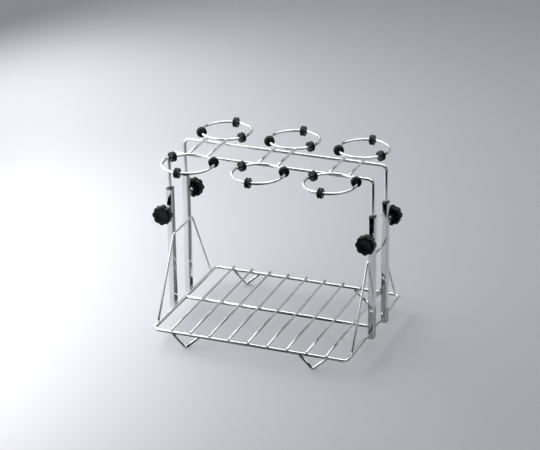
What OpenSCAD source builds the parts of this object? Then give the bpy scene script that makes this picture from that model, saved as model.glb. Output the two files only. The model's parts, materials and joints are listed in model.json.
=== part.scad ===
// Six-place wire stand for separating funnels.
// X runs left to right, Y from front to rear, Z up.
// The origin is on the bench, under the middle of the stand. Millimetres.

/* [Base grid] */
// Distance between the centre lines of the left and right base rails
base_w = 360; // [320:5:420]
// Distance between the centre lines of the front and rear base rails
base_d = 280; // [270:0.5:330]
// Wire diameter of the base rim and the middle rail
rim_wire = 6; // [4:0.5:8]
// Bend radius of the rim's corners, on the centre line
rim_bend = 10; // [6:1:20]
// Height of the rim's centre line above the bench
rim_height = 26; // [22:0.2:40]
// Wire diameter of the cross wires
cross_wire = 3.6; // [2.5:0.1:5]
// Number of cross wires
cross_count = 9; // [5:1:11]
// How far a cross wire runs past the centre line of the front and rear rails
cross_overhang = 3.5; // [0:0.5:6]

/* [Feet] */
// Wire diameter of the feet
foot_wire = 5; // [4:0.5:6]
// Distance between the left and right feet
foot_spacing = 236.6; // [200:0.2:260]
// Slope of the two arms of a foot, in degrees
foot_slope = 43; // [38:1:50]
// Bend radius at the bottom of a foot, on the centre line
foot_bend = 5; // [3:0.5:7]

/* [Uprights] */
// Width of an upright tube, left to right
tube_w = 10; // [9:0.5:14]
// Depth of an upright tube, front to rear
tube_d = 14; // [12:0.5:18]
// Wall thickness of an upright tube
tube_wall = 1; // [0.8:0.1:1.2]
// Outside corner radius of an upright tube
tube_corner = 1.2; // [1.2:0.1:2]
// Distance between the centres of the front and rear tubes
tube_spread = 68.4; // [60:0.2:90]
// Height of the top end of the tubes
tube_top = 250; // [245:1:270]
// Thickness of a cap plate
cap_plate = 1.6; // [1.5:0.1:4]
// How far a cap plate stands out round its tube
cap_lip = 0.5; // [0.5:0.1:2]
// Length of a cap's plug inside its tube
cap_plug = 12; // [8:1:20]

/* [Side braces] */
// Wire diameter of the side braces
brace_wire = 4; // [3:0.5:5]
// Length of a brace along the side rail
brace_foot_span = 234; // [200:2:250]
// Length of a brace's top bar
brace_top_span = 80; // [72:2:100]
// Height of a brace's top bar
brace_top = 167; // [120:1:180]
// Bend radius of a brace's corners
brace_bend = 6; // [3:0.5:10]

/* [Upper frame] */
// Wire diameter of the two top frames
frame_wire = 5.5; // [5:0.5:6]
// Height of the top frames' rails as set
frame_height = 318; // [310:0.5:380]
// Bend radius of the top frames' corners
frame_bend = 9; // [6:1:15]
// Height of the lower ends of the legs as set
leg_bottom = 105; // [80:1:150]
// Height of the plastic guide on the lower end of each leg
guide_h = 14; // [10:1:20]
// Clearance of a leg guide in its tube, on each side
guide_gap = 0.3; // [0.3:0.05:0.5]

/* [Rings] */
// Wire diameter of the rings
ring_wire = 5; // [4:0.5:6]
// Radius of a ring's centre line
ring_r = 44.5; // [40:0.5:50]
// Distance between neighbouring rings, left to right
ring_pitch = 129.5; // [125:0.5:135]
// Distance of the ring centres from the middle of the stand
ring_offset = 85.5; // [84:0.5:90]
// Wire diameter of the wires that join a front ring to a rear ring
bridge_wire = 4.5; // [4:0.5:5]
// Distance between the two wires that join a pair of rings
bridge_gap = 35.4; // [25:0.2:50]

/* [Rubber grommets] */
// Outside diameter of a grommet
grommet_d = 18.5; // [15:0.5:20]
// Width of a grommet along its ring wire
grommet_w = 9; // [7:0.5:11]
// Radius of the round rims on either side of a grommet's groove
grommet_lobe = 2.1; // [1.5:0.1:2.2]

/* [Clamp knobs] */
// Height of the clamp screws
clamp_height = 212.8; // [200:0.2:225]
// Distance from a tube's face to the middle of its knob head
clamp_reach = 27.8; // [27:0.1:34]
// Diameter of a knob head over its lobes
knob_d = 35; // [28:1:40]
// Thickness of a knob head
knob_t = 13; // [11:0.5:16]
// Number of lobes on a knob head
knob_lobes = 8; // [6:1:9]
// Diameter of the knob's hub
hub_d = 14; // [13:0.5:16]
// How far the hub stands out of the back of the head
hub_out = 6; // [4:0.5:8]
// Diameter of the screw studs
stud_d = 6; // [5:0.5:8]
// Diameter of the threaded boss on a tube
boss_d = 12; // [10:0.5:14]
// Length of the threaded boss
boss_l = 6; // [4:0.5:8]

/* [Hidden] */
$fn = 48;
// How deep welded wires sink into each other
weld = 0.2;
// Radial clearance of a running fit
running = 0.05;
// Gap between a screw's tip and its leg, and between a stud and its tube hole
tip_gap = 0.3;
// Overlap that makes cuts run past a face
cut = 1;
// A straight stretch of bent wire is a touch thinner than its bends and ends a short way inside them
bend_swell = 0.02;
bend_lap = 0.3;

rim_top = rim_height + rim_wire / 2;
cross_z = rim_top + cross_wire / 2 - weld;
cross_pitch = base_w / (cross_count + 1);
tube_x = base_w / 2 + rim_wire / 2 + tube_w / 2 - weld;
tube_y = tube_spread / 2;
tube_bottom = rim_height - rim_wire / 2;
tube_face = tube_y + tube_d / 2;
bore_w = tube_w - 2 * tube_wall;
bore_d = tube_d - 2 * tube_wall;
bore_corner = 0.5;
brace_x = tube_x - tube_w / 2 - brace_wire / 2 + weld;
bridge_z = frame_height + frame_wire / 2 + bridge_wire / 2 - weld;
// Where a bridge wire's line meets the centre line of its ring
bridge_meet = ring_offset - sqrt(pow(ring_r, 2) - pow(bridge_gap / 2, 2));
bridge_end = bridge_meet - ring_wire / 2 + 1.2;
knob_back = tube_face + clamp_reach - knob_t / 2;
stud_tip = tube_y + frame_wire / 2 + tip_gap;
stud_end = knob_back + knob_t / 2;

// Name, side (-1 left, 1 right) and face (-1 front, 1 rear) of each corner
CORNERS = [
    ["front_left", -1, -1],
    ["front_right", 1, -1],
    ["rear_left", -1, 1],
    ["rear_right", 1, 1]
];
SIDES = [["left", -1], ["right", 1]];
FACES = [["front", -1], ["rear", 1]];
COLUMNS = [["left", -1], ["middle", 0], ["right", 1]];
GROMMETS = [0, 1, 2];

// ---- Wire bending -------------------------------------------------------------------------

// Direction from a to b, in degrees
function heading(a, b) = atan2(b[1] - a[1], b[0] - a[0]);

// Turn at b on the way from a to c, from -180 to 180 degrees, positive to the left
function turn(a, b, c) =
    let (t = heading(b, c) - heading(a, b))
    t > 180 ? t - 360 : t < -180 ? t + 360 : t;

// Length that the bend at b takes off each of its two straights
function trim(a, b, c, bend) = bend * tan(abs(turn(a, b, c)) / 2);

// The bend at b, which touches the lines a-b and b-c
module wire_bend(a, b, c, wire, bend) {
    way = heading(a, b);
    side = turn(a, b, c) > 0 ? 1 : -1;
    start = b - trim(a, b, c, bend) * [cos(way), sin(way)];
    centre = start + side * bend * [-sin(way), cos(way)];
    first = side > 0 ? way - 90 : way + 90 + turn(a, b, c);
    translate(centre)
        rotate(first)
        rotate_extrude(angle = abs(turn(a, b, c)))
        translate([bend, 0])
        circle(d = wire);
}

// A wire bent along an outline in the XY plane, with a round bend at each corner
module bent_wire(points, wire, bend, closed = false) {
    n = len(points);
    straights = closed ? n : n - 1;
    for (i = [0:straights - 1]) {
        a = points[i];
        b = points[(i + 1) % n];
        from = closed || i > 0 ? trim(points[(i + n - 1) % n], a, b, bend) - bend_lap : 0;
        to = closed || i < n - 2 ? trim(a, b, points[(i + 2) % n], bend) - bend_lap : 0;
        translate(a)
            rotate([0, 90, heading(a, b)])
            translate([0, 0, from])
            cylinder(h = norm(b - a) - from - to, d = wire - 2 * bend_swell);
    }
    corners = closed ? [0:n - 1] : [1:n - 2];
    for (i = corners) {
        wire_bend(points[(i + n - 1) % n], points[i], points[(i + 1) % n], wire, bend);
    }
}

// Turns an outline drawn in XY into the XZ plane
module in_xz() {
    rotate([90, 0, 0]) children();
}

// Turns an outline drawn in XY into the YZ plane
module in_yz() {
    rotate([90, 0, 90]) children();
}

// A cylinder along Y that starts at y and goes outwards, away from the stand's middle
module outward(face, y, length, d) {
    translate([0, face * y, 0])
        rotate([face * -90, 0, 0])
        cylinder(h = length, d = d);
}

// A rectangle centred on the origin, with round corners
module round_rect(w, d, r) {
    square([w - 2 * r, d], center = true);
    square([w, d - 2 * r], center = true);
    for (x = [-1, 1], y = [-1, 1]) {
        translate([x * (w / 2 - r), y * (d / 2 - r)]) circle(r = r);
    }
}

// ---- Base ---------------------------------------------------------------------------------

module base_rim() {
    x = base_w / 2;
    y = base_d / 2;
    color("silver")
        translate([0, 0, rim_height])
        bent_wire([[-x, -y], [x, -y], [x, y], [-x, y]], rim_wire, rim_bend, closed = true);
}

module middle_rail() {
    length = base_w - rim_wire + 2 * weld;
    color("silver")
        translate([-length / 2, 0, rim_height])
        rotate([0, 90, 0])
        cylinder(h = length, d = rim_wire);
}

module cross_wires() {
    length = base_d + 2 * cross_overhang;
    color("silver")
        for (i = [1:cross_count]) {
            translate([i * cross_pitch - base_w / 2, length / 2, cross_z])
                rotate([90, 0, 0])
                cylinder(h = length, d = cross_wire);
        }
}

module foot(side, face) {
    low = foot_wire / 2 - foot_bend * (1 / cos(foot_slope) - 1);
    high = tube_bottom + 3 * weld;
    reach = (high - low) / tan(foot_slope);
    color("silver")
        translate([side * foot_spacing / 2, face * base_d / 2, 0])
        in_xz()
        bent_wire([[-reach, high], [0, low], [reach, high]], foot_wire, foot_bend);
}

module side_brace(side) {
    low = rim_top - weld;
    foot_y = brace_foot_span / 2;
    top_y = brace_top_span / 2;
    outline = [[-foot_y, low], [-top_y, brace_top], [top_y, brace_top], [foot_y, low]];
    color("silver")
        translate([side * brace_x, 0, 0])
        in_yz()
        bent_wire(outline, brace_wire, brace_bend);
}

module tube(side, face) {
    color("gainsboro")
        difference() {
            translate([side * tube_x, face * tube_y, tube_bottom])
                linear_extrude(tube_top - tube_bottom)
                difference() {
                    round_rect(tube_w, tube_d, tube_corner);
                    round_rect(bore_w, bore_d, bore_corner);
                }
            translate([side * tube_x, 0, clamp_height])
                outward(face, tube_y, tube_d / 2 + cut, stud_d + 2 * tip_gap);
        }
}

module tube_cap(side, face) {
    color("black")
        translate([side * tube_x, face * tube_y, tube_top])
        difference() {
            union() {
                linear_extrude(cap_plate)
                    round_rect(tube_w + 2 * cap_lip, tube_d + 2 * cap_lip, tube_corner + cap_lip);
                translate([0, 0, -cap_plug])
                    linear_extrude(cap_plug)
                    round_rect(bore_w, bore_d, bore_corner);
            }
            translate([0, 0, -cap_plug - cut])
                cylinder(h = cap_plug + cap_plate + 2 * cut, d = frame_wire + 2 * running);
        }
}

module clamp_boss(side, face) {
    color("silver")
        translate([side * tube_x, 0, clamp_height])
        difference() {
            outward(face, tube_face, boss_l, boss_d);
            outward(face, tube_face - cut, boss_l + 2 * cut, stud_d + 2 * running);
        }
}

// ---- Upper frame --------------------------------------------------------------------------

module top_frame(face) {
    legs = [[-tube_x, leg_bottom], [-tube_x, frame_height], [tube_x, frame_height], [tube_x, leg_bottom]];
    color("silver")
        translate([0, face * tube_y, 0])
        in_xz()
        bent_wire(legs, frame_wire, frame_bend);
}

module leg_guides() {
    color("dimgray")
        for (x = [-1, 1], y = [-1, 1]) {
            translate([x * tube_x, y * tube_y, leg_bottom])
                linear_extrude(guide_h)
                difference() {
                    round_rect(bore_w - 2 * guide_gap, bore_d - 2 * guide_gap, bore_corner);
                    circle(d = frame_wire);
                }
        }
}

module ring(face, column) {
    color("silver")
        translate([column * ring_pitch, face * ring_offset, bridge_z])
        rotate_extrude()
        translate([ring_r, 0])
        circle(d = ring_wire);
}

module ring_bridge(column) {
    color("silver")
        for (x = [-1, 1]) {
            translate([column * ring_pitch + x * bridge_gap / 2, bridge_end, bridge_z])
                rotate([90, 0, 0])
                cylinder(h = 2 * bridge_end, d = bridge_wire);
        }
}

// Grommets sit a third of a turn apart, the second one furthest from the stand's middle
module grommet(face, column, index) {
    angle = face * (90 + 120 * (index - 1));
    hub_r = grommet_d / 2 - grommet_lobe;
    color("black")
        translate([column * ring_pitch, face * ring_offset, bridge_z])
        rotate(angle)
        translate([ring_r, 0, 0])
        rotate([90, 0, 0])
        rotate_extrude() {
            translate([ring_wire / 2, -grommet_w / 2])
                square([hub_r - ring_wire / 2, grommet_w]);
            for (z = [-1, 1]) {
                translate([hub_r, z * (grommet_w / 2 - grommet_lobe)]) circle(r = grommet_lobe);
            }
        }
}

// ---- Clamp screws -------------------------------------------------------------------------

module clamp_stud(side, face) {
    color("lightgray")
        translate([side * tube_x, 0, clamp_height])
        outward(face, stud_tip, stud_end - stud_tip, stud_d);
}

// The knob head's outline: a disc with a hollow between each two lobes
module knob_outline() {
    hollow_r = 6;
    hollow_depth = 1.8;
    difference() {
        circle(d = knob_d);
        for (i = [0:knob_lobes - 1]) {
            rotate((i + 0.5) * 360 / knob_lobes)
                translate([knob_d / 2 + hollow_r - hollow_depth, 0])
                circle(r = hollow_r);
        }
    }
}

// The head has a recess round its hub, crossed by thin ribs
module clamp_knob(side, face) {
    face_t = 5;
    recess_r = 12.5;
    rib_t = 1.6;
    color("black")
        translate([side * tube_x, face * knob_back, clamp_height])
        rotate([face * -90, 0, 0])
        difference() {
            union() {
                difference() {
                    linear_extrude(knob_t) knob_outline();
                    translate([0, 0, -cut]) cylinder(h = knob_t - face_t + cut, r = recess_r);
                }
                translate([0, 0, -hub_out]) cylinder(h = hub_out + knob_t - cut, d = hub_d);
                for (i = [0:knob_lobes / 2 - 1]) {
                    rotate(i * 360 / knob_lobes)
                        translate([-recess_r - cut, -rib_t / 2, cut])
                        cube([2 * (recess_r + cut), rib_t, knob_t - face_t]);
                }
            }
            translate([0, 0, -hub_out - cut])
                cylinder(h = hub_out + knob_t / 2 + cut + tip_gap, d = stud_d + 2 * running);
        }
}

// ---- Parts --------------------------------------------------------------------------------

base_rim();
middle_rail();
cross_wires();
leg_guides();
for (c = CORNERS) {
    foot(c[1], c[2]);
    tube(c[1], c[2]);
    tube_cap(c[1], c[2]);
    clamp_boss(c[1], c[2]);
    clamp_stud(c[1], c[2]);
    clamp_knob(c[1], c[2]);
}
for (s = SIDES) {
    side_brace(s[1]);
}
for (f = FACES) {
    top_frame(f[1]);
}
for (k = COLUMNS) {
    ring_bridge(k[1]);
}
for (f = FACES, k = COLUMNS) {
    ring(f[1], k[1]);
}
for (f = FACES, k = COLUMNS, g = GROMMETS) {
    grommet(f[1], k[1], g);
}
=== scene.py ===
"""Wire stand for separating funnels: the looks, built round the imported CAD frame. Metres."""

import json
import math

import bpy
from mathutils import Matrix, Vector

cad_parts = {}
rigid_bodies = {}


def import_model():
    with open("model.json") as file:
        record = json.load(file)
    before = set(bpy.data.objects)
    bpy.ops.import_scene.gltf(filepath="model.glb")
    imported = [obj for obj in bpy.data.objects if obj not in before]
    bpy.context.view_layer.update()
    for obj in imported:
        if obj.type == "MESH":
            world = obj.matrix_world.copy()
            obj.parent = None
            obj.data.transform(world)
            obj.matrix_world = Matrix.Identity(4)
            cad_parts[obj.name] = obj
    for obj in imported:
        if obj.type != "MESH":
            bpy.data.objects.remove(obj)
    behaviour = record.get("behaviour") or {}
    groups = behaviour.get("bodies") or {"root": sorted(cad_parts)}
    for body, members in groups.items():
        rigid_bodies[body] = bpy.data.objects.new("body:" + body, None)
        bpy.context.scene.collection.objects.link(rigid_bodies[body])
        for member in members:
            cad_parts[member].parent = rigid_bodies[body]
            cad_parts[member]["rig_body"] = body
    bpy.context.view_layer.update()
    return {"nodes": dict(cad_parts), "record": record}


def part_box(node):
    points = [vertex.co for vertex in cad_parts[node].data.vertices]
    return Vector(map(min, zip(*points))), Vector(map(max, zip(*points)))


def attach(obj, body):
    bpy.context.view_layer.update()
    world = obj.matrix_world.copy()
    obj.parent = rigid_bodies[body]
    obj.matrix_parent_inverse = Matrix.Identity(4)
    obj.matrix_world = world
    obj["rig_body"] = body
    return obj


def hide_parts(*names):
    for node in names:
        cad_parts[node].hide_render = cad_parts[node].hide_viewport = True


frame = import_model()

MM = 0.001
X, Y, Z = Vector((1, 0, 0)), Vector((0, 1, 0)), Vector((0, 0, 1))
CORNERS = ("front_left", "front_right", "rear_left", "rear_right")
SIDES = ("left", "right")
FACES = ("front", "rear")
COLUMNS = ("left", "middle", "right")
SLOT_OF = {s["node"]: s["material_slot"] for s in frame["record"]["subparts"]}

# Shape details that the CAD boxes don't give
CROSS_WIRES = 9
RIM_BEND = 10 * MM
FOOT_BEND = 5 * MM
FOOT_SLOPE = math.radians(43)
BRACE_BEND = 6 * MM
BRACE_FOOT = 117 * MM
BRACE_TOP = 40 * MM
FRAME_BEND = 9 * MM
TUBE_CORNER = 1.2 * MM
TUBE_WALL = 1 * MM
CAP_PLATE = 1.6 * MM
LEG_HOLE = 2.8 * MM
KNOB_HEAD = 13 * MM
KNOB_LOBES = 8
HOLLOW_RADIUS = 6 * MM
HOLLOW_DEPTH = 1.8 * MM
SCREW_BORE = 3.05 * MM
THREAD_PITCH = 1 * MM
THREAD_DEPTH = 0.55 * MM
THREAD_LEAD_IN = 1.2 * MM
WELD_HEIGHT = 0.7 * MM
WELD_LENGTH = 2.2 * MM

# Fineness of the meshes
AROUND = 28
BEND_STEP = math.radians(7.5)
THREAD_ROWS = 6


# ---- Reading the frame ----------------------------------------------------------------------

def middle(node):
    """The centre of a CAD node's box."""
    low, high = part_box(node)
    return (low + high) / 2


def size(node):
    """The lengths of a CAD node's box."""
    low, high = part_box(node)
    return high - low


def face_of(name):
    """-1 for a front part, 1 for a rear part."""
    return -1 if "front" in name else 1


# ---- Meshes ---------------------------------------------------------------------------------

def make_object(name, verts, faces, uvs=None, sharp=35):
    """A mesh object with smooth shading and hard edges above an angle of sharp degrees."""
    mesh = bpy.data.meshes.new(name)
    mesh.from_pydata([tuple(v) for v in verts], [], faces)
    if uvs:
        layer = mesh.uv_layers.new(name="along")
        for loop in mesh.loops:
            layer.data[loop.index].uv = uvs[loop.vertex_index]
    mesh.validate()
    mesh.shade_smooth()
    mesh.set_sharp_from_angle(angle=math.radians(sharp))
    piece = bpy.data.objects.new(name, mesh)
    bpy.context.scene.collection.objects.link(piece)
    return piece


class Builder:
    """Collects vertices, faces and their places along and round a wire."""

    def __init__(self):
        self.verts = []
        self.faces = []
        self.uvs = []

    def loop(self, points, along=0.0):
        """Adds a closed loop of points and returns the index of its first one."""
        first = len(self.verts)
        self.verts += points
        self.uvs += [(along, i / len(points)) for i in range(len(points))]
        return first

    def join(self, a, b, count):
        """Quads between two loops of the same count."""
        for i in range(count):
            j = (i + 1) % count
            self.faces.append((a + i, a + j, b + j, b + i))

    def cap(self, first, count, flip=False):
        """Closes a loop with one flat face."""
        ring = list(range(first, first + count))
        self.faces.append(tuple(reversed(ring)) if flip else tuple(ring))

    def loft(self, loops, closed=False, cap_ends=False):
        """Joins loops of equal length in order. closed joins the last to the first."""
        count = len(loops[0])
        starts = [self.loop(points) for points in loops]
        for a, b in zip(starts, starts[1:]):
            self.join(a, b, count)
        if closed:
            self.join(starts[-1], starts[0], count)
        if cap_ends:
            self.cap(starts[0], count, flip=True)
            self.cap(starts[-1], count)

    def build(self, name, **options):
        """The collected mesh as an object."""
        return make_object(name, self.verts, self.faces, self.uvs, **options)


def circle(centre, radius, across, up, count=AROUND):
    """Points round a circle that turns from across towards up."""
    turns = (2 * math.pi * i / count for i in range(count))
    return [centre + radius * (math.cos(t) * across + math.sin(t) * up) for t in turns]


def bent_path(corners, bend, closed=False):
    """Points along a wire that runs through the corners with a round bend at each."""
    count = len(corners)
    path = []
    for i, corner in enumerate(corners):
        if not closed and i in (0, count - 1):
            path.append(corner)
            continue
        into = (corner - corners[i - 1]).normalized()
        out = (corners[(i + 1) % count] - corner).normalized()
        angle = into.angle(out)
        normal = (out - into.dot(out) * into).normalized()
        centre = corner - bend * math.tan(angle / 2) * into + bend * normal
        steps = max(3, math.ceil(angle / BEND_STEP))
        for k in range(steps + 1):
            t = angle * k / steps
            path.append(centre + bend * (math.sin(t) * into - math.cos(t) * normal))
    return path


def round_path(centre, radius, steps=96):
    """Points round a ring that lies flat."""
    return circle(centre, radius, X, Y, steps)


def add_wire(builder, path, radius, normal, closed=False, tip=0.4 * MM):
    """Sweeps a round wire along a path that lies in the plane square to normal."""
    count = len(path)
    along = 0.0
    loops = []
    for i, point in enumerate(path):
        before = path[i - 1] if closed or i else path[0]
        after = path[(i + 1) % count] if closed or i < count - 1 else path[-1]
        into, out = (point - before).normalized(), (after - point).normalized()
        tangent = (into + out).normalized()
        along += (point - before).length if i else 0.0
        loops.append((point, tangent, along))
    if not closed:
        loops = rounded_ends(loops, tip)
    else:
        loops = [(p, t, a, 1.0) for p, t, a in loops]
    firsts = []
    for point, tangent, reach, scale in loops:
        side = tangent.cross(normal).normalized()
        firsts.append(builder.loop(circle(point, radius * scale, normal, side), reach))
    for a, b in zip(firsts, firsts[1:]):
        builder.join(b, a, AROUND)
    if closed:
        builder.join(firsts[0], firsts[-1], AROUND)
    else:
        builder.cap(firsts[0], AROUND)
        builder.cap(firsts[-1], AROUND, flip=True)


def rounded_ends(loops, tip):
    """Adds narrowing loops at both ends of an open wire, so that its cut ends aren't sharp."""
    steps = ((0.0, 0.72), (0.12, 0.86), (0.4, 0.955), (1.0, 1.0))
    (start, way, _), (end, last_way, length) = loops[0], loops[-1]
    head = [(start + k * tip * way, way, k * tip, s) for k, s in steps]
    tail = [(end - k * tip * last_way, last_way, length - k * tip, s) for k, s in reversed(steps)]
    return head + [(p, t, a, 1.0) for p, t, a in loops[1:-1]] + tail


def add_lathe(builder, profile, centre, axis, count=AROUND, closed=False, cap_ends=False):
    """Turns a profile of (distance along the axis, radius) pairs round an axis."""
    across = axis.orthogonal().normalized()
    up = axis.cross(across)
    loops = [circle(centre + d * axis, r, across, up, count) for d, r in profile]
    builder.loft(loops, closed=closed, cap_ends=cap_ends)


def arc(centre, radius, start, end, steps):
    """Points of an arc in a lathe profile, as (along, radius) pairs. Angles in degrees."""
    points = []
    for k in range(steps + 1):
        t = math.radians(start + (end - start) * k / steps)
        points.append((centre[0] + radius * math.cos(t), centre[1] + radius * math.sin(t)))
    return points


# ---- Materials ------------------------------------------------------------------------------

# Scales of the noise, in cycles a metre
STEEL_CLOUDS = 60.0
STEEL_POLISH = 220.0
MOULDED_CLOUDS = 90.0
MOULDED_WEAR = 350.0
RUBBER_GRAIN = 900.0
PLASTIC_GRAIN = 1400.0

# Fine lines run along a wire's own length, or up a tube
LINE_STRETCH = {"UV": (60, 90, 1), "Object": (900, 900, 12)}

# Depths of the bump, in metres
POLISHED = 0.000002
TURNED = 0.00002
FINE_GRAIN = 0.00001
COARSE_GRAIN = 0.00003


def new_material(name):
    """A node material and its shader, output links ready."""
    material = bpy.data.materials.new(name)
    material.use_nodes = True
    return material, material.node_tree, material.node_tree.nodes["Principled BSDF"]


def add_node(tree, kind, **inputs):
    """A node with some of its inputs set, by their names with _ for spaces."""
    node = tree.nodes.new(kind)
    for name, value in inputs.items():
        node.inputs[name.replace("_", " ")].default_value = value
    return node


def noise(tree, coords, scale, detail=3.0, stretch=(1, 1, 1)):
    """Noise over coordinates, stretched along their axes. Returns its value socket."""
    mapping = add_node(tree, "ShaderNodeMapping")
    mapping.inputs["Scale"].default_value = stretch
    tree.links.new(coords, mapping.inputs["Vector"])
    node = add_node(tree, "ShaderNodeTexNoise", Scale=scale, Detail=detail)
    tree.links.new(mapping.outputs["Vector"], node.inputs["Vector"])
    return node.outputs["Fac"]


def spread(tree, value, low, high, dark=0.3, bright=0.7):
    """Maps a noise value between dark and bright onto low to high."""
    node = add_node(tree, "ShaderNodeMapRange", From_Min=dark, From_Max=bright, To_Min=low, To_Max=high)
    tree.links.new(value, node.inputs["Value"])
    return node.outputs["Result"]


def tint(tree, value, first, second):
    """A colour between two, by a value from 0 to 1."""
    node = add_node(tree, "ShaderNodeMix")
    node.data_type = "RGBA"
    for socket, colour in ((node.inputs[6], first), (node.inputs[7], second)):
        socket.default_value = (*colour, 1)
    tree.links.new(value, node.inputs[0])
    return node.outputs[2]


def add_bump(tree, shader, value, distance):
    """Bump from a value, distance in metres."""
    node = add_node(tree, "ShaderNodeBump", Strength=1.0, Distance=distance)
    tree.links.new(value, node.inputs["Height"])
    tree.links.new(node.outputs["Normal"], shader.inputs["Normal"])


def steel(name, light, dark, rough, drawn, bump):
    """Bright stainless steel: cloudy polish, fine lines along the wire and slight waviness."""
    material, tree, shader = new_material(name)
    coords = tree.nodes.new("ShaderNodeTexCoord")
    shader.inputs["Metallic"].default_value = 1.0
    cloud = noise(tree, coords.outputs["Object"], STEEL_CLOUDS)
    tree.links.new(tint(tree, spread(tree, cloud, 0, 1), dark, light), shader.inputs["Base Color"])
    polish = noise(tree, coords.outputs["Object"], STEEL_POLISH, 4.0)
    tree.links.new(spread(tree, polish, *rough), shader.inputs["Roughness"])
    lines = noise(tree, coords.outputs[drawn], 1.0, 2.0, LINE_STRETCH[drawn])
    add_bump(tree, shader, lines, bump)
    return material


def moulded(name, light, dark, rough, grain, grain_depth, specular=0.5):
    """Black rubber or plastic with a fine moulded grain and faint cloudiness."""
    material, tree, shader = new_material(name)
    coords = tree.nodes.new("ShaderNodeTexCoord").outputs["Object"]
    cloud = noise(tree, coords, MOULDED_CLOUDS)
    tree.links.new(tint(tree, spread(tree, cloud, 0, 1), dark, light), shader.inputs["Base Color"])
    shader.inputs["Specular IOR Level"].default_value = specular
    wear = noise(tree, coords, MOULDED_WEAR, 5.0)
    tree.links.new(spread(tree, wear, *rough), shader.inputs["Roughness"])
    add_bump(tree, shader, noise(tree, coords, grain, 4.0), grain_depth)
    return material


def metals():
    """The steel of the wires, the tubes and the screws."""
    return {
        "wire_steel": steel(
            "wire_steel", (0.80, 0.80, 0.81), (0.72, 0.72, 0.74), (0.03, 0.08), "UV", POLISHED,
        ),
        "tube_steel": steel(
            "tube_steel", (0.78, 0.78, 0.79), (0.72, 0.72, 0.73), (0.03, 0.08), "Object", POLISHED,
        ),
        "screw_steel": steel(
            "screw_steel", (0.82, 0.82, 0.81), (0.68, 0.68, 0.68), (0.12, 0.26), "Object", TURNED,
        ),
    }


def plastics():
    """The rubber of the grommets and the plastic of the knobs, caps and guides."""
    return {
        "rubber": moulded(
            "rubber", (0.006, 0.006, 0.007), (0.003, 0.003, 0.004), (0.16, 0.26),
            RUBBER_GRAIN, FINE_GRAIN, specular=0.4,
        ),
        "knob_plastic": moulded(
            "knob_plastic", (0.003, 0.006, 0.007), (0.002, 0.0045, 0.0055), (0.2, 0.3),
            PLASTIC_GRAIN, FINE_GRAIN, specular=0.22,
        ),
        "cap_plastic": moulded(
            "cap_plastic", (0.02, 0.02, 0.022), (0.012, 0.012, 0.013), (0.42, 0.58),
            PLASTIC_GRAIN, COARSE_GRAIN,
        ),
        "guide_plastic": moulded(
            "guide_plastic", (0.13, 0.13, 0.135), (0.1, 0.1, 0.105), (0.45, 0.6),
            PLASTIC_GRAIN, COARSE_GRAIN,
        ),
    }


# One material for each slot of the record
MATERIALS = {**metals(), **plastics()}


def dress(piece, slot):
    """Gives a piece the material of a slot."""
    piece.data.materials.clear()
    piece.data.materials.append(MATERIALS[slot])


def stand_for(piece, node):
    """The piece is shown in place of a CAD node and moves with its body."""
    dress(piece, SLOT_OF[node])
    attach(piece, frame["nodes"][node]["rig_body"])
    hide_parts(node)


def shape_name(node):
    """The name of the shown piece for a CAD node."""
    return node + "_shape"


# ---- Camera ---------------------------------------------------------------------------------

CAMERA_AZIMUTH = math.radians(22.05)
CAMERA_HEIGHT_ANGLE = math.radians(23.32)
CAMERA_ROLL = math.radians(-0.75)
CAMERA_DISTANCE = 3.723
CAMERA_AIM = Vector((0, 0, 0.194))
CAMERA_SIDESTEP = -0.0128
CAMERA_LENS = 142.11


def add_camera():
    """The camera at the reference view."""
    back = Vector((
        math.sin(CAMERA_AZIMUTH) * math.cos(CAMERA_HEIGHT_ANGLE),
        -math.cos(CAMERA_AZIMUTH) * math.cos(CAMERA_HEIGHT_ANGLE),
        math.sin(CAMERA_HEIGHT_ANGLE),
    ))
    level = Vector((math.cos(CAMERA_AZIMUTH), math.sin(CAMERA_AZIMUTH), 0))
    upright = back.cross(level)
    right = math.cos(CAMERA_ROLL) * level + math.sin(CAMERA_ROLL) * upright
    up = math.cos(CAMERA_ROLL) * upright - math.sin(CAMERA_ROLL) * level
    camera = bpy.data.objects.new("camera", bpy.data.cameras.new("camera"))
    camera.data.lens = CAMERA_LENS
    camera.data.sensor_width = 36
    camera.data.sensor_fit = "HORIZONTAL"
    camera.data.clip_end = 100
    place = CAMERA_DISTANCE * back + CAMERA_SIDESTEP * level + CAMERA_AIM
    turned = Matrix((right, up, back)).transposed().to_4x4()
    camera.matrix_world = Matrix.Translation(place) @ turned
    bpy.context.scene.collection.objects.link(camera)
    bpy.context.scene.camera = camera


# ---- Base -----------------------------------------------------------------------------------

def base_rim():
    """The closed rim of the base."""
    node = "base_rim"
    low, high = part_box(node)
    r = (high.z - low.z) / 2
    corners = [
        Vector((low.x + r, low.y + r, low.z + r)),
        Vector((high.x - r, low.y + r, low.z + r)),
        Vector((high.x - r, high.y - r, low.z + r)),
        Vector((low.x + r, high.y - r, low.z + r)),
    ]
    b = Builder()
    add_wire(b, bent_path(corners, RIM_BEND, closed=True), r, Z, closed=True)
    stand_for(b.build(shape_name(node)), node)


def straight_wire(node, axis, starts):
    """Straight wires of one node, each from a start point along axis for the node's length."""
    length = size(node).dot(axis)
    r = size(node).z / 2
    b = Builder()
    for start in starts:
        add_wire(b, [start, start + length * axis], r, Z)
    stand_for(b.build(shape_name(node)), node)


def middle_rail():
    """The long wire across the middle of the base."""
    low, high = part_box("middle_rail")
    straight_wire("middle_rail", X, [Vector((low.x, (low.y + high.y) / 2, (low.z + high.z) / 2))])


def cross_places():
    """The X place of each cross wire."""
    low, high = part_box("cross_wires")
    r = (high.z - low.z) / 2
    pitch = (high.x - low.x - 2 * r) / (CROSS_WIRES - 1)
    return [low.x + r + i * pitch for i in range(CROSS_WIRES)]


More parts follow.
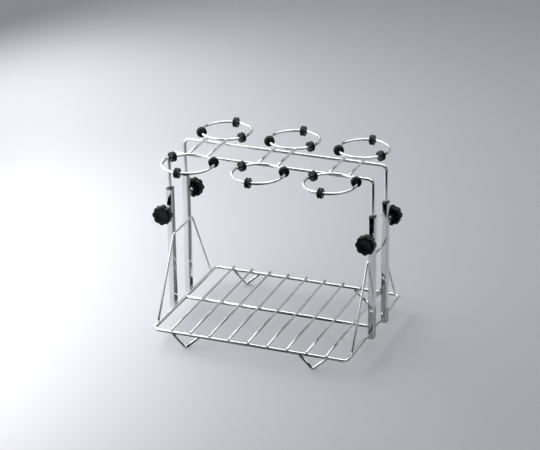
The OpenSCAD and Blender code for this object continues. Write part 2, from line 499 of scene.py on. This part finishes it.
def cross_wires():
    """The wires of the grid, from front to rear on top of the rails."""
    low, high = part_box("cross_wires")
    z = (low.z + high.z) / 2
    straight_wire("cross_wires", Y, [Vector((x, low.y, z)) for x in cross_places()])


def foot(corner):
    """A wire bent into a V under the rim."""
    node = "foot_" + corner
    low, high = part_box(node)
    r = (high.y - low.y) / 2
    centre = middle(node)
    reach = (high.x - low.x) / 2 - r * math.sin(FOOT_SLOPE)
    top = high.z - r * math.cos(FOOT_SLOPE)
    tip = top - reach * math.tan(FOOT_SLOPE)
    corners = [
        Vector((centre.x - reach, centre.y, top)),
        Vector((centre.x, centre.y, tip)),
        Vector((centre.x + reach, centre.y, top)),
    ]
    b = Builder()
    add_wire(b, bent_path(corners, FOOT_BEND), r, Y)
    stand_for(b.build(shape_name(node)), node)


def brace_corners(side):
    """The corners of a side brace, from its front foot to its rear foot."""
    low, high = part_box("side_brace_" + side)
    r = (high.x - low.x) / 2
    x = (low.x + high.x) / 2
    top = high.z - r
    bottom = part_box("base_rim")[1].z - 0.2 * MM
    places = ((-BRACE_FOOT, bottom), (-BRACE_TOP, top), (BRACE_TOP, top), (BRACE_FOOT, bottom))
    return [Vector((x, y, z)) for y, z in places], r


def side_brace(side):
    """A wire bent into a trapezoid, from the side rail to the uprights."""
    node = "side_brace_" + side
    corners, r = brace_corners(side)
    b = Builder()
    add_wire(b, bent_path(corners, BRACE_BEND), r, X)
    stand_for(b.build(shape_name(node)), node)


def round_rect(centre, half_x, half_y, corner, z, steps=8):
    """Points round a rectangle with round corners, at height z."""
    points = []
    for quarter, (sx, sy) in enumerate(((1, 1), (-1, 1), (-1, -1), (1, -1))):
        for k in range(steps + 1):
            t = math.radians(90 * quarter + 90 * k / steps)
            points.append(Vector((
                centre.x + sx * (half_x - corner) + corner * math.cos(t),
                centre.y + sy * (half_y - corner) + corner * math.sin(t),
                z,
            )))
    return points


def tube(corner):
    """A rectangular upright tube with a thin wall and softened ends."""
    node = "tube_" + corner
    low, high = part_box(node)
    centre = (low + high) / 2
    hx, hy = (high.x - low.x) / 2, (high.y - low.y) / 2
    ease = 0.15 * MM
    inner = TUBE_CORNER - 0.7 * MM
    loops = []
    for z, inset in ((low.z, ease), (low.z + ease, 0), (high.z - ease, 0), (high.z, ease)):
        loops.append(round_rect(centre, hx - inset, hy - inset, TUBE_CORNER, z))
    for z in (high.z, low.z):
        loops.append(round_rect(centre, hx - TUBE_WALL, hy - TUBE_WALL, inner, z))
    b = Builder()
    b.loft(loops, closed=True)
    stand_for(b.build(shape_name(node)), node)


def leg_hole(centre, z, steps=8):
    """Points round a cap's hole, in step with the points of round_rect."""
    points = []
    for quarter in range(4):
        for k in range(steps + 1):
            t = math.radians(90 * quarter + 90 * k / steps)
            points.append(Vector((
                centre.x + LEG_HOLE * math.cos(t),
                centre.y + LEG_HOLE * math.sin(t),
                z,
            )))
    return points


def tube_cap(corner):
    """A plastic cap: a plate with eased edges, a plug inside the tube and a hole for the leg."""
    node = "tube_cap_" + corner
    low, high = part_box(node)
    centre = (low + high) / 2
    hx, hy = (high.x - low.x) / 2, (high.y - low.y) / 2
    plate_low = high.z - CAP_PLATE
    lip = 0.5 * MM
    plug = lip + TUBE_WALL
    ease = 0.5 * MM
    rounding = TUBE_CORNER + lip
    outline = [
        (low.z, plug + ease, 0.5 * MM),
        (low.z + ease, plug, 0.5 * MM),
        (plate_low, plug, 0.5 * MM),
        (plate_low, 0.2 * MM, rounding),
        (plate_low + 0.2 * MM, 0, rounding),
        (high.z - ease, 0, rounding),
        (high.z - 0.15 * MM, 0.15 * MM, rounding),
        (high.z, ease, rounding),
    ]
    loops = [round_rect(centre, hx - inset, hy - inset, corner_r, z) for z, inset, corner_r in outline]
    loops += [leg_hole(centre, high.z), leg_hole(centre, low.z)]
    b = Builder()
    b.loft(loops, closed=True)
    stand_for(b.build(shape_name(node)), node)


def clamp_boss(corner):
    """A short threaded boss on the face of a tube, with eased edges."""
    node = "clamp_boss_" + corner
    axis = face_of(corner) * Y
    centre = middle(node)
    half = size(node).y / 2
    r = size(node).x / 2
    bore = SCREW_BORE
    ease = 0.6 * MM
    profile = [(-half, bore), (-half, r), (half - ease, r), (half - 0.2 * MM, r - 0.2 * MM)]
    profile += [(half, r - ease), (half, bore + ease), (half - ease, bore)]
    b = Builder()
    add_lathe(b, profile, centre, axis, count=48, closed=True)
    stand_for(b.build(shape_name(node)), node)


# ---- Upper frame ----------------------------------------------------------------------------

def top_frame(face):
    """A wire bent into a wide U, whose legs run down into the tubes."""
    node = "top_frame_" + face
    low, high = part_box(node)
    r = (high.y - low.y) / 2
    y = (low.y + high.y) / 2
    left, right, top = low.x + r, high.x - r, high.z - r
    corners = [Vector((x, y, z)) for x, z in ((left, low.z), (left, top), (right, top), (right, low.z))]
    b = Builder()
    add_wire(b, bent_path(corners, FRAME_BEND), r, Y)
    stand_for(b.build(shape_name(node)), node)


def ring(face, column):
    """A ring of wire that lies flat."""
    node = f"ring_{face}_{column}"
    r = size(node).z / 2
    b = Builder()
    add_wire(b, round_path(middle(node), ring_radius(node)), r, Z, closed=True)
    stand_for(b.build(shape_name(node)), node)


def ring_radius(node):
    """The radius of a ring's centre line."""
    return (size(node).y - size(node).z) / 2


def ring_bridge(column):
    """The two straight wires that join a front ring to a rear ring."""
    node = "ring_bridge_" + column
    low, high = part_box(node)
    r = (high.z - low.z) / 2
    places = (low.x + r, high.x - r)
    straight_wire(node, Y, [Vector((x, low.y, low.z + r)) for x in places])


def grommet(face, column, index):
    """A rubber grommet with two round rims and a groove, on the ring wire."""
    node = f"grommet_{face}_{column}_{index}"
    ring_node = f"ring_{face}_{column}"
    centre = middle(node)
    outward = (centre - middle(ring_node)).normalized()
    axis = outward.cross(Z).normalized()
    outer = size(node).z / 2
    half = 4.5 * MM
    rim = 2.1 * MM
    bore = size(ring_node).z / 2
    groove = outer - 2.4 * MM
    hub = outer - rim
    place = half - rim
    valley = 0.75 * MM
    profile = [(-half + 0.5 * MM, bore), (-half, bore + 0.6 * MM)]
    profile += arc((-place, hub), rim, 180, 35, 9)
    profile += arc((0, groove + 1.0 * MM), valley, 215, 325, 5)
    profile += arc((place, hub), rim, 145, 0, 9)
    profile += [(half, bore + 0.6 * MM), (half - 0.5 * MM, bore)]
    b = Builder()
    add_lathe(b, profile, centre, axis, count=48, closed=True)
    stand_for(b.build(shape_name(node), sharp=50), node)


# ---- Clamp screws ---------------------------------------------------------------------------

def clamp_stud(corner):
    """A screw stud with a real helical thread."""
    node = "clamp_stud_" + corner
    axis = face_of(corner) * Y
    length = size(node).y
    outer = size(node).z / 2
    depth = THREAD_DEPTH
    start = middle(node) - length / 2 * axis
    across = X
    up = axis.cross(across)
    count = 32
    rows = math.ceil(length / THREAD_PITCH * THREAD_ROWS)
    b = Builder()
    firsts = []
    for row in range(rows + 1):
        along = length * row / rows
        tip = min(1.0, along / THREAD_LEAD_IN, (length - along) / THREAD_LEAD_IN)
        points = []
        for i in range(count):
            turn = i / count
            phase = (along / THREAD_PITCH - turn) % 1.0
            crest = 1 - abs(2 * phase - 1)
            radius = (outer - depth) + depth * min(1.0, 1.6 * crest) * tip - 0.35 * MM * (1 - tip)
            angle = 2 * math.pi * turn
            points.append(start + along * axis + radius * (math.cos(angle) * across + math.sin(angle) * up))
        firsts.append(b.loop(points))
    for a, c in zip(firsts, firsts[1:]):
        b.join(a, c, count)
    b.cap(firsts[0], count, flip=True)
    b.cap(firsts[-1], count)
    stand_for(b.build(shape_name(node), sharp=60), node)


def lobe_radius(angle, outer):
    """The knob's outline: a disc with a round hollow between each two lobes."""
    centre = outer + HOLLOW_RADIUS - HOLLOW_DEPTH
    step = 2 * math.pi / KNOB_LOBES
    from_lobe = (angle + step / 2) % step - step / 2
    off = step / 2 - abs(from_lobe)
    reach = HOLLOW_RADIUS ** 2 - (centre * math.sin(off)) ** 2
    if reach < 0:
        return outer
    return min(outer, centre * math.cos(off) - math.sqrt(reach))


def clamp_knob(corner):
    """A star knob: lobed head with rounded edges, a recess behind it, ribs and a hub."""
    node = "clamp_knob_" + corner
    axis = face_of(corner) * Y
    across, up = X, axis.cross(X)
    outer = size(node).z / 2
    low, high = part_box(node)
    front = (high if face_of(corner) > 0 else low).y
    centre = middle(node)
    face_point = Vector((centre.x, front, centre.z))
    count = 24 * KNOB_LOBES

    def outline(depth, inset):
        """The head's outline at a depth behind its face."""
        points = []
        for i in range(count):
            t = 2 * math.pi * i / count
            r = lobe_radius(t, outer) - inset
            points.append(face_point - depth * axis + r * (math.cos(t) * across + math.sin(t) * up))
        return points

    def ring_loop(depth, radius):
        """A plain circle at a depth behind the face."""
        return circle(face_point - depth * axis, radius, across, up, count)

    head = KNOB_HEAD
    edge = 1.6 * MM
    recess, hub, bore = 12.5 * MM, 7 * MM, SCREW_BORE
    floor = 5 * MM
    hub_end = size(node).y
    loops = [ring_loop(0.35 * MM, 0.8 * MM), ring_loop(0.35 * MM, 9.5 * MM), ring_loop(0.1 * MM, 10.2 * MM)]
    loops += [outline(0, 4 * MM)]
    for k in range(7):
        t = math.radians(90 * k / 6)
        loops.append(outline(edge * (1 - math.sin(t)), edge * (1 - math.cos(t))))
    loops += [outline(head - 0.8 * MM, 0), outline(head - 0.25 * MM, 0.25 * MM), outline(head, 0.8 * MM)]
    loops += [ring_loop(head, recess + 0.4 * MM), ring_loop(head - 0.4 * MM, recess)]
    loops += [ring_loop(floor + 0.6 * MM, recess), ring_loop(floor, recess - 0.6 * MM)]
    loops += [ring_loop(floor, hub + 0.8 * MM), ring_loop(floor + 0.8 * MM, hub)]
    loops += [ring_loop(hub_end - 0.8 * MM, hub), ring_loop(hub_end - 0.2 * MM, hub - 0.2 * MM)]
    loops += [ring_loop(hub_end, hub - 0.8 * MM), ring_loop(hub_end, bore + 0.3 * MM)]
    loops += [ring_loop(hub_end - 0.3 * MM, bore), ring_loop(head / 2, bore)]
    b = Builder()
    b.loft(loops, cap_ends=True)
    reach = (hub - 0.3 * MM, recess + 0.3 * MM)
    depths = (floor - 0.2 * MM, head - 1 * MM)
    add_ribs(b, face_point, axis, across, up, reach, depths)
    stand_for(b.build(shape_name(node)), node)


def add_ribs(b, face_point, axis, across, up, reach, depths):
    """Thin ribs from the hub to the rim of a knob's recess, one behind each lobe."""
    half = 0.8 * MM
    for k in range(KNOB_LOBES):
        t = 2 * math.pi * k / KNOB_LOBES
        way = math.cos(t) * across + math.sin(t) * up
        side = math.cos(t) * up - math.sin(t) * across
        loops = []
        for depth, width in ((depths[0], half), (depths[1] - 0.3 * MM, 0.8 * half), (depths[1], 0.5 * half)):
            base = face_point - depth * axis
            loops.append([
                base + reach[0] * way - width * side,
                base + reach[1] * way - width * side,
                base + reach[1] * way + width * side,
                base + reach[0] * way + width * side,
            ])
        b.loft(loops, cap_ends=True)


# ---- Welds ----------------------------------------------------------------------------------

def add_bead(b, centre, axis, radius, half):
    """A small weld bead: a flattened ball whose short way is the axis."""
    steps = 8
    profile = []
    for k in range(1, steps):
        t = math.pi * k / steps
        profile.append((-half * math.cos(t), radius * math.sin(t)))
    add_lathe(b, profile, centre, axis, count=20, cap_ends=True)


def add_fillet(b, start, axis, wire, flare, length):
    """A weld fillet that hugs a wire where it meets another: wide at the start, then narrow."""
    profile = []
    steps = 6
    for k in range(steps + 1):
        t = k / steps
        profile.append((length * t, wire + flare * (1 - t) ** 2))
    add_lathe(b, profile, start, axis, count=24, cap_ends=True)


def base_welds():
    """Weld beads of the base: grid crossings, rail ends and brace feet."""
    b = Builder()
    rim_low, rim_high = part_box("base_rim")
    rim_r = (rim_high.z - rim_low.z) / 2
    top = rim_high.z
    for x in cross_places():
        for y in (rim_low.y + rim_r, 0.0, rim_high.y - rim_r):
            add_bead(b, Vector((x, y, top)), Z, 2.5 * MM, WELD_HEIGHT)
    rail_low, rail_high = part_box("middle_rail")
    height = (rail_low.z + rail_high.z) / 2
    for x, way in ((rail_low.x, X), (rail_high.x, -X)):
        add_fillet(b, Vector((x, 0, height)), way, rim_r, WELD_HEIGHT, WELD_LENGTH)
    for side in SIDES:
        corners, r = brace_corners(side)
        for a, c in ((0, 1), (3, 2)):
            way = (corners[c] - corners[a]).normalized()
            add_fillet(b, corners[a], way, r, 0.8 * MM, 2.4 * MM)
    piece = b.build("base_welds")
    dress(piece, "wire_steel")
    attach(piece, "base")


def upper_welds():
    """Weld beads of the upper frame: bridges on the rails, and bridges on the rings."""
    b = Builder()
    for column in COLUMNS:
        low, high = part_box("ring_bridge_" + column)
        r = (high.z - low.z) / 2
        for x in (low.x + r, high.x - r):
            for face in FACES:
                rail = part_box("top_frame_" + face)
                y = (rail[0].y + rail[1].y) / 2
                add_bead(b, Vector((x, y, rail[1].z)), Z, 2.8 * MM, WELD_HEIGHT)
            for y, way in ((low.y, Y), (high.y, -Y)):
                start = Vector((x, y, low.z + r)) + 0.8 * MM * way
                add_fillet(b, start, way, r, WELD_HEIGHT, WELD_LENGTH)
    piece = b.build("upper_welds")
    dress(piece, "wire_steel")
    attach(piece, "upper_frame")


# ---- Stage ----------------------------------------------------------------------------------

FLOOR_HALF = 12.0
FLOOR_COLOUR = (0.775, 0.79, 0.827, 1)
WORLD_COLOUR = (0.955, 0.975, 1.0, 1)
WORLD_STRENGTH = 0.33
FLAG_LIFT = 2 * MM
RING_FLAG_LIFT = 240 * MM

# Softboxes that light the floor: name, place, aim, width, height, power
FLOOR_LIGHTS = (
    ("left", (-0.6, -0.16, 0.4), (0, 0, 0.1), 1.32, 0.5, 4.5),
    ("behind", (-1.12, 0.87, 0.72), (0, 0.4, 0.1), 0.93, 0.93, 7.8),
)

# Softboxes that only show in reflections, in the same order of values
GLOSS_LIGHTS = (
    ("overhead", (0, 0.4, 1.8), (0, 0.4, 0), 3.2, 2.4, 56),
    ("front", (-3.9, -2.3, 2.1), (0, 0, 2.1), 2.4, 2.8, 13),
    ("right", (2.6, -1.6, 0.75), (0, 0, 0.75), 3.2, 1.2, 7),
    ("back", (0, 3.0, 1.55), (0, 0, 1.55), 6.0, 1.6, 19),
)

# Dark cards that only show in reflections: name, corners, glow, height above the floor
FLAGS = (
    ("front_flag", ((-0.33, -3.0), (1.5, -3.0), (1.5, -0.48), (-0.33, -0.48)), 0.0, FLAG_LIFT),
    ("right_flag", ((0.7, -0.45), (1.5, -0.45), (1.5, 0.1), (0.7, 0.1)), 0.0, FLAG_LIFT),
    ("inner_flag", ((-0.17, -0.06), (-0.1, -0.06), (0.14, 0.6), (-0.02, 0.6)), 0.21, FLAG_LIFT),
    ("base_flag", ((-0.19, -0.21), (0.12, -0.21), (0.12, 0.13), (-0.19, 0.13)), 0.04, FLAG_LIFT),
    ("corner_flag", ((0.12, -0.21), (0.25, -0.21), (0.25, 0.13), (0.12, 0.13)), 0.22, FLAG_LIFT),
    ("ring_flag", ((-0.5, -0.7), (0.4, -0.7), (0.4, -0.15), (-0.5, -0.15)), 0.0, RING_FLAG_LIFT),
    ("left_flag", ((-4.0, 0.5), (-0.55, 0.5), (-0.7, 1.0), (-4.0, 5.0)), 0.0, FLAG_LIFT),
    ("back_flag", ((0.6, 0.5), (4.0, 0.5), (4.0, 5.0), (0.6, 1.0)), 0.0, FLAG_LIFT),
)


def add_floor():
    """A wide plain pale floor."""
    h = FLOOR_HALF
    floor = make_object("floor", [(-h, -h, 0), (h, -h, 0), (h, h, 0), (-h, h, 0)], [(0, 1, 2, 3)])
    material, tree, shader = new_material("floor")
    shader.inputs["Base Color"].default_value = FLOOR_COLOUR
    shader.inputs["Roughness"].default_value = 0.45
    shader.inputs["Specular IOR Level"].default_value = 0.25
    floor.data.materials.append(material)


def aimed(place, aim):
    """The matrix of a thing at a place whose -Z axis points at aim."""
    way = Vector(aim) - Vector(place)
    return Matrix.Translation(place) @ way.to_track_quat("-Z", "Y").to_matrix().to_4x4()


def add_softbox(name, place, aim, width, height, power, lights_floor):
    """A soft rectangular light at a place, aimed at a point. The camera doesn't see it."""
    lamp = bpy.data.lights.new(name, "AREA")
    lamp.shape = "RECTANGLE"
    lamp.size = width
    lamp.size_y = height
    lamp.energy = power
    light = bpy.data.objects.new(name, lamp)
    light.matrix_world = aimed(place, aim)
    light.visible_camera = False
    light.visible_diffuse = lights_floor
    bpy.context.scene.collection.objects.link(light)


def add_flag(name, corners, glow, lift):
    """A level card, black or dark grey, that shows only in reflections and only from above."""
    card = make_object(name, [(x, y, lift) for x, y in corners], [tuple(range(len(corners)))])
    material, tree, _ = new_material(name)
    geometry = tree.nodes.new("ShaderNodeNewGeometry")
    clear = tree.nodes.new("ShaderNodeBsdfTransparent")
    shade = add_node(tree, "ShaderNodeEmission", Strength=glow)
    mix = tree.nodes.new("ShaderNodeMixShader")
    tree.links.new(geometry.outputs["Backfacing"], mix.inputs[0])
    tree.links.new(shade.outputs[0], mix.inputs[1])
    tree.links.new(clear.outputs[0], mix.inputs[2])
    tree.links.new(mix.outputs[0], tree.nodes["Material Output"].inputs["Surface"])
    card.data.materials.append(material)
    card.visible_camera = False
    card.visible_diffuse = False
    card.visible_shadow = False
    card.visible_transmission = False


def add_world():
    """An even pale surround that lights the floor, but is black in reflections."""
    world = bpy.data.worlds.new("surround")
    world.use_nodes = True
    background = world.node_tree.nodes["Background"]
    background.inputs["Color"].default_value = WORLD_COLOUR
    background.inputs["Strength"].default_value = WORLD_STRENGTH
    bpy.context.scene.world = world
    world.cycles_visibility.glossy = False


def add_light():
    """Two softboxes for the floor, and softboxes and dark cards that the metal reflects."""
    for light in FLOOR_LIGHTS:
        add_softbox(*light, lights_floor=True)
    for light in GLOSS_LIGHTS:
        add_softbox(*light, lights_floor=False)
    for flag in FLAGS:
        add_flag(*flag)
    add_world()
    bpy.context.scene.view_settings.view_transform = "Standard"


# ---- The whole ------------------------------------------------------------------------------

def build_base():
    """Everything that stands still."""
    base_rim()
    middle_rail()
    cross_wires()
    for corner in CORNERS:
        foot(corner)
        tube(corner)
        tube_cap(corner)
        clamp_boss(corner)
    for side in SIDES:
        side_brace(side)
    base_welds()


def build_upper_frame():
    """Everything that slides up and down."""
    for face in FACES:
        top_frame(face)
        for column in COLUMNS:
            ring(face, column)
            for index in (1, 2, 3):
                grommet(face, column, index)
    for column in COLUMNS:
        ring_bridge(column)
    upper_welds()


def build_clamps():
    """The screws and their knobs."""
    for corner in CORNERS:
        clamp_stud(corner)
        clamp_knob(corner)


add_camera()
build_base()
build_upper_frame()
build_clamps()
dress(frame["nodes"]["leg_guides"], SLOT_OF["leg_guides"])
add_floor()
add_light()
